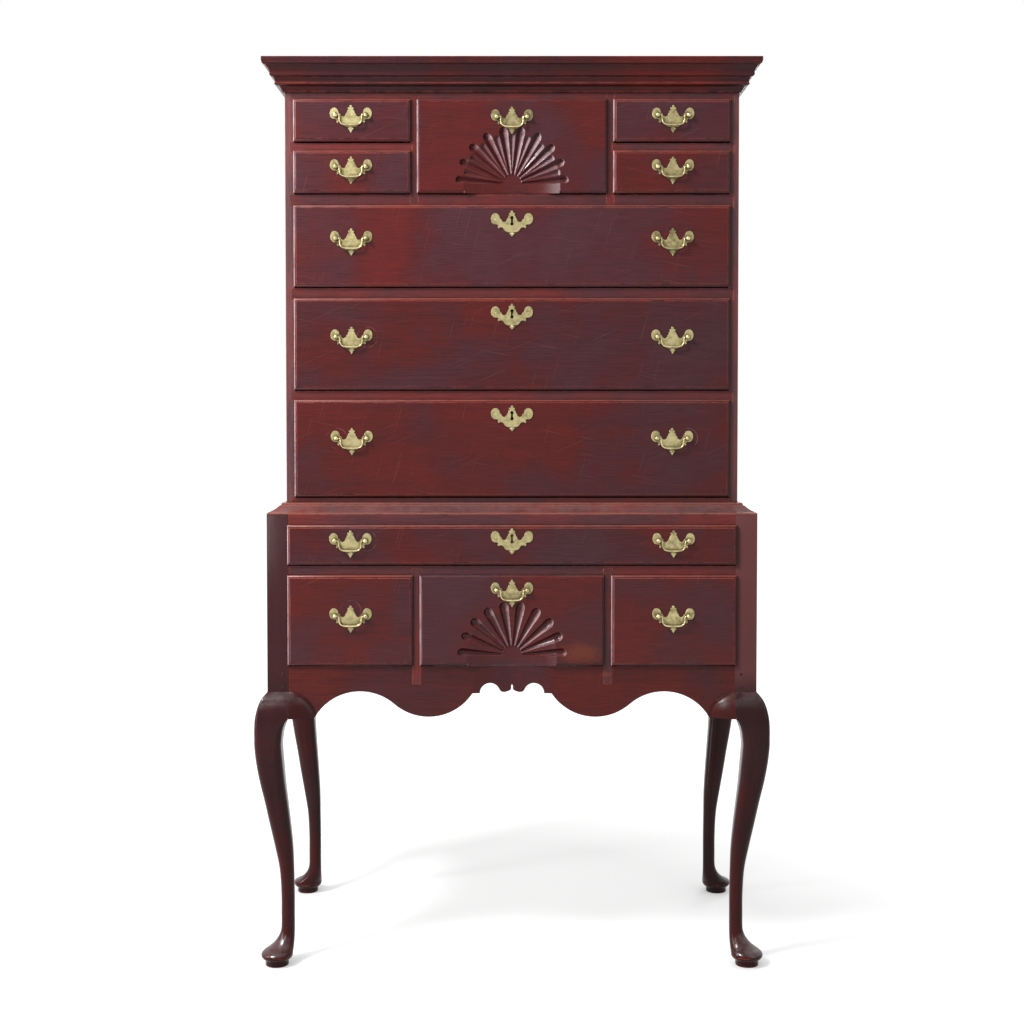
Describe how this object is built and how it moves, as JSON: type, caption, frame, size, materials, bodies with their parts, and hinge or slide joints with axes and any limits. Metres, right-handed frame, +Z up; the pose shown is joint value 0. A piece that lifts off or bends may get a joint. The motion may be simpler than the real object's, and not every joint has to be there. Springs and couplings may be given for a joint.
{
  "type": "highboy chest of drawers",
  "caption": "Flat-top high chest of drawers on cabriole legs: upper case lifted on a lower case with a shaped apron, lipped drawers, carved fans, brass bails.",
  "frame": {"origin": "on the floor, under the middle of the overall box", "axes": "+X to the right seen from the front, +Y towards the back, +Z up"},
  "size_m": [1.03, 0.54, 1.82],
  "materials": {
    "case_wood": "aged varnish over dark red-brown wood",
    "drawer_wood": "aged varnish over dark red-brown wood",
    "inner_wood": "bare, darkened softwood",
    "brass": "worn and tarnished",
    "steel": "dull forged iron"
  },
  "bodies": {
    "lower_case": {"leg_front_left": "case_wood", "leg_front_right": "case_wood", "leg_rear_left": "case_wood", "leg_rear_right": "case_wood", "lower_sides": "case_wood", "lower_back": "inner_wood", "apron": "case_wood", "lower_dividers": "case_wood", "lower_runners": "inner_wood", "knee_blocks": "case_wood", "waist_moulding": "case_wood"},
    "upper_case": {"upper_sides": "case_wood", "upper_top_and_bottom": "case_wood", "upper_back": "inner_wood", "upper_dividers": "case_wood", "upper_runners": "inner_wood", "cornice": "case_wood"},
    "top_left_drawer": {"drawer_top_left": "drawer_wood", "brasses_top_left": "brass"},
    "top_left_bail": {"bail_top_left": "brass"},
    "top_right_drawer": {"drawer_top_right": "drawer_wood", "brasses_top_right": "brass"},
    "top_right_bail": {"bail_top_right": "brass"},
    "small_left_drawer": {"drawer_small_left": "drawer_wood", "brasses_small_left": "brass"},
    "small_left_bail": {"bail_small_left": "brass"},
    "small_right_drawer": {"drawer_small_right": "drawer_wood", "brasses_small_right": "brass"},
    "small_right_bail": {"bail_small_right": "brass"},
    "upper_fan_drawer": {"drawer_upper_fan": "drawer_wood", "brasses_upper_fan": "brass"},
    "upper_fan_bail": {"bail_upper_fan": "brass"},
    "first_long_drawer": {"drawer_first_long": "drawer_wood", "brasses_first_long": "brass"},
    "first_long_bail_left": {"bail_first_long_left": "brass"},
    "first_long_bail_right": {"bail_first_long_right": "brass"},
    "first_long_bolt": {"bolt_first_long": "steel"},
    "second_long_drawer": {"drawer_second_long": "drawer_wood", "brasses_second_long": "brass"},
    "second_long_bail_left": {"bail_second_long_left": "brass"},
    "second_long_bail_right": {"bail_second_long_right": "brass"},
    "second_long_bolt": {"bolt_second_long": "steel"},
    "third_long_drawer": {"drawer_third_long": "drawer_wood", "brasses_third_long": "brass"},
    "third_long_bail_left": {"bail_third_long_left": "brass"},
    "third_long_bail_right": {"bail_third_long_right": "brass"},
    "third_long_bolt": {"bolt_third_long": "steel"},
    "lower_long_drawer": {"drawer_lower_long": "drawer_wood", "brasses_lower_long": "brass"},
    "lower_long_bail_left": {"bail_lower_long_left": "brass"},
    "lower_long_bail_right": {"bail_lower_long_right": "brass"},
    "lower_left_drawer": {"drawer_lower_left": "drawer_wood", "brasses_lower_left": "brass"},
    "lower_left_bail": {"bail_lower_left": "brass"},
    "lower_right_drawer": {"drawer_lower_right": "drawer_wood", "brasses_lower_right": "brass"},
    "lower_right_bail": {"bail_lower_right": "brass"},
    "lower_fan_drawer": {"drawer_lower_fan": "drawer_wood", "brasses_lower_fan": "brass"},
    "lower_fan_bail": {"bail_lower_fan": "brass"}
  },
  "joints": [
    {"name": "upper_case_lift", "type": "slide", "parent": "lower_case", "child": "upper_case", "axis": [0, 0, 1], "range_m": [0, 0.04]},
    {"name": "top_left_drawer_slide", "type": "slide", "parent": "upper_case", "child": "top_left_drawer", "axis": [0, -1, 0], "range_m": [0, 0.33]},
    {"name": "top_left_bail_swing", "type": "hinge", "parent": "top_left_drawer", "child": "top_left_bail", "pos_m": [-0.322, -0.2255, 1.7096], "axis": [-1, 0, 0], "range_deg": [0, 95]},
    {"name": "top_right_drawer_slide", "type": "slide", "parent": "upper_case", "child": "top_right_drawer", "axis": [0, -1, 0], "range_m": [0, 0.33]},
    {"name": "top_right_bail_swing", "type": "hinge", "parent": "top_right_drawer", "child": "top_right_bail", "pos_m": [0.322, -0.2255, 1.7096], "axis": [-1, 0, 0], "range_deg": [0, 95]},
    {"name": "small_left_drawer_slide", "type": "slide", "parent": "upper_case", "child": "small_left_drawer", "axis": [0, -1, 0], "range_m": [0, 0.33]},
    {"name": "small_left_bail_swing", "type": "hinge", "parent": "small_left_drawer", "child": "small_left_bail", "pos_m": [-0.322, -0.2255, 1.6071], "axis": [-1, 0, 0], "range_deg": [0, 95]},
    {"name": "small_right_drawer_slide", "type": "slide", "parent": "upper_case", "child": "small_right_drawer", "axis": [0, -1, 0], "range_m": [0, 0.33]},
    {"name": "small_right_bail_swing", "type": "hinge", "parent": "small_right_drawer", "child": "small_right_bail", "pos_m": [0.322, -0.2255, 1.6071], "axis": [-1, 0, 0], "range_deg": [0, 95]},
    {"name": "upper_fan_drawer_slide", "type": "slide", "parent": "upper_case", "child": "upper_fan_drawer", "axis": [0, -1, 0], "range_m": [0, 0.33]},
    {"name": "upper_fan_bail_swing", "type": "hinge", "parent": "upper_fan_drawer", "child": "upper_fan_bail", "pos_m": [0, -0.2255, 1.7062], "axis": [-1, 0, 0], "range_deg": [0, 95]},
    {"name": "first_long_drawer_slide", "type": "slide", "parent": "upper_case", "child": "first_long_drawer", "axis": [0, -1, 0], "range_m": [0, 0.33]},
    {"name": "first_long_bail_left_swing", "type": "hinge", "parent": "first_long_drawer", "child": "first_long_bail_left", "pos_m": [-0.322, -0.2255, 1.4643], "axis": [-1, 0, 0], "range_deg": [0, 95]},
    {"name": "first_long_bail_right_swing", "type": "hinge", "parent": "first_long_drawer", "child": "first_long_bail_right", "pos_m": [0.322, -0.2255, 1.4643], "axis": [-1, 0, 0], "range_deg": [0, 95]},
    {"name": "first_long_bolt_slide", "type": "slide", "parent": "first_long_drawer", "child": "first_long_bolt", "axis": [0, 0, 1], "range_m": [0, 0.007]},
    {"name": "second_long_drawer_slide", "type": "slide", "parent": "upper_case", "child": "second_long_drawer", "axis": [0, -1, 0], "range_m": [0, 0.33]},
    {"name": "second_long_bail_left_swing", "type": "hinge", "parent": "second_long_drawer", "child": "second_long_bail_left", "pos_m": [-0.322, -0.2255, 1.26755], "axis": [-1, 0, 0], "range_deg": [0, 95]},
    {"name": "second_long_bail_right_swing", "type": "hinge", "parent": "second_long_drawer", "child": "second_long_bail_right", "pos_m": [0.322, -0.2255, 1.26755], "axis": [-1, 0, 0], "range_deg": [0, 95]},
    {"name": "second_long_bolt_slide", "type": "slide", "parent": "second_long_drawer", "child": "second_long_bolt", "axis": [0, 0, 1], "range_m": [0, 0.007]},
    {"name": "third_long_drawer_slide", "type": "slide", "parent": "upper_case", "child": "third_long_drawer", "axis": [0, -1, 0], "range_m": [0, 0.33]},
    {"name": "third_long_bail_left_swing", "type": "hinge", "parent": "third_long_drawer", "child": "third_long_bail_left", "pos_m": [-0.322, -0.2255, 1.0643], "axis": [-1, 0, 0], "range_deg": [0, 95]},
    {"name": "third_long_bail_right_swing", "type": "hinge", "parent": "third_long_drawer", "child": "third_long_bail_right", "pos_m": [0.322, -0.2255, 1.0643], "axis": [-1, 0, 0], "range_deg": [0, 95]},
    {"name": "third_long_bolt_slide", "type": "slide", "parent": "third_long_drawer", "child": "third_long_bolt", "axis": [0, 0, 1], "range_m": [0, 0.007]},
    {"name": "lower_long_drawer_slide", "type": "slide", "parent": "lower_case", "child": "lower_long_drawer", "axis": [0, -1, 0], "range_m": [0, 0.35]},
    {"name": "lower_long_bail_left_swing", "type": "hinge", "parent": "lower_long_drawer", "child": "lower_long_bail_left", "pos_m": [-0.322, -0.2605, 0.861], "axis": [-1, 0, 0], "range_deg": [0, 95]},
    {"name": "lower_long_bail_right_swing", "type": "hinge", "parent": "lower_long_drawer", "child": "lower_long_bail_right", "pos_m": [0.322, -0.2605, 0.861], "axis": [-1, 0, 0], "range_deg": [0, 95]},
    {"name": "lower_left_drawer_slide", "type": "slide", "parent": "lower_case", "child": "lower_left_drawer", "axis": [0, -1, 0], "range_m": [0, 0.35]},
    {"name": "lower_left_bail_swing", "type": "hinge", "parent": "lower_left_drawer", "child": "lower_left_bail", "pos_m": [-0.322, -0.2605, 0.71075], "axis": [-1, 0, 0], "range_deg": [0, 95]},
    {"name": "lower_right_drawer_slide", "type": "slide", "parent": "lower_case", "child": "lower_right_drawer", "axis": [0, -1, 0], "range_m": [0, 0.35]},
    {"name": "lower_right_bail_swing", "type": "hinge", "parent": "lower_right_drawer", "child": "lower_right_bail", "pos_m": [0.322, -0.2605, 0.71075], "axis": [-1, 0, 0], "range_deg": [0, 95]},
    {"name": "lower_fan_drawer_slide", "type": "slide", "parent": "lower_case", "child": "lower_fan_drawer", "axis": [0, -1, 0], "range_m": [0, 0.35]},
    {"name": "lower_fan_bail_swing", "type": "hinge", "parent": "lower_fan_drawer", "child": "lower_fan_bail", "pos_m": [0, -0.2605, 0.7625], "axis": [-1, 0, 0], "range_deg": [0, 95]}
  ]
}
